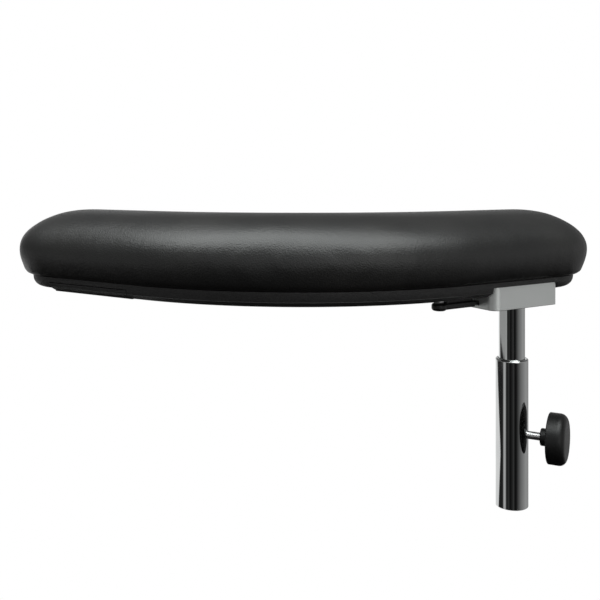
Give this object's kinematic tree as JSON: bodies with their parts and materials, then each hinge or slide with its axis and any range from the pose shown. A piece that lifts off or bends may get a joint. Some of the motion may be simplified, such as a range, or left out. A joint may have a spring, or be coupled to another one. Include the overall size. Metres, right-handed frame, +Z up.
{
  "type": "body support arm",
  "caption": "Padded curved body-support arm on a telescopic chromed post, with a swivel-brake lever under the pad and a round clamp knob that sets its height.",
  "frame": {"origin": "on the post's axis, at the outer tube's lower end", "axes": "+Z up along the post; +X to the right along the pad's chord; +Y towards the sitter, on the pad's hollow side"},
  "size_m": [0.4525, 0.1755, 0.2274],
  "materials": {
    "black_upholstery": "fine-grained soft satin coated upholstery",
    "textured_plastic": "moulded, spark-textured",
    "cast_aluminium": "satin silver, fine cast grain",
    "chrome_tube": "polished chrome plate",
    "grip_plastic": "satin black",
    "knob_plastic": "fine-textured black",
    "black_nylon": "plain moulded",
    "plain_steel": "machined",
    "zinc_screw": "bright zinc plate",
    "plywood": "unfinished birch plywood",
    "foam": "open moulded foam",
    "lining": "friction lining",
    "brass": "machined"
  },
  "bodies": {
    "post_outer": {"outer_tube": "chrome_tube"},
    "post_inner": {"inner_tube": "chrome_tube", "inner_tube_glide": "black_nylon", "post_head_plug": "plain_steel", "brake_drum": "plain_steel", "drum_screw": "zinc_screw", "drum_dowel": "plain_steel"},
    "support_arm": {"bracket_housing": "cast_aluminium", "bracket_cover_plate": "plain_steel", "cover_plate_screws": "zinc_screw", "bracket_screws": "zinc_screw", "t_nuts": "zinc_screw", "bracket_bush": "black_nylon", "thrust_washer": "black_nylon", "brake_spring": "plain_steel", "lever_pin": "plain_steel", "under_shell": "textured_plastic", "shell_screws": "zinc_screw", "blank_cover": "textured_plastic", "blank_cover_screws": "zinc_screw", "recess_filler": "textured_plastic", "filler_screw": "zinc_screw", "base_board": "plywood", "foam_core": "foam", "pad_cover": "black_upholstery", "cover_staples": "zinc_screw"},
    "release_lever": {"lever_arm": "plain_steel", "crank_pin": "plain_steel", "lever_grip": "grip_plastic"},
    "shoe_slider": {"brake_shoe": "plain_steel", "brake_lining": "lining"},
    "clamp_tip": {"clamp_pad": "brass"},
    "clamp_knob": {"clamp_stud": "zinc_screw", "knob_insert": "brass", "knob_body": "knob_plastic"}
  },
  "joints": [
    {"name": "height_slide", "type": "slide", "parent": "post_outer", "child": "post_inner", "axis": [0, 0, 1], "range_m": [-0.038, 0.005]},
    {"name": "arm_swivel", "type": "hinge", "parent": "post_inner", "child": "support_arm", "pos_m": [0, 0, 0.165], "axis": [0, 0, 1], "continuous": true},
    {"name": "lever_turn", "type": "hinge", "parent": "support_arm", "child": "release_lever", "pos_m": [-0.02643, -0.0162, 0.16], "axis": [0, 0, 1], "range_deg": [0, 10], "stiffness_Nm_per_rad": 0.6, "springref_deg": -8.59},
    {"name": "shoe_travel", "type": "slide", "parent": "support_arm", "child": "shoe_slider", "axis": [-0.8526, -0.5225, 0], "range_m": [0, 0.001], "deforming": ["brake_spring"]},
    {"name": "clamp_travel", "type": "slide", "parent": "post_outer", "child": "clamp_tip", "axis": [0.8926, -0.4509, 0], "range_m": [0, 0.002]},
    {"name": "knob_turn", "type": "hinge", "parent": "clamp_tip", "child": "clamp_knob", "pos_m": [0, 0, 0.0553], "axis": [0.8926, -0.4509, 0], "range_deg": [0, 720]}
  ],
  "couplings": [
    {"joint": "shoe_travel", "follows": "lever_turn", "m_per_rad": 0.0055},
    {"joint": "clamp_travel", "follows": "knob_turn", "m_per_rad": 0.00015915}
  ]
}
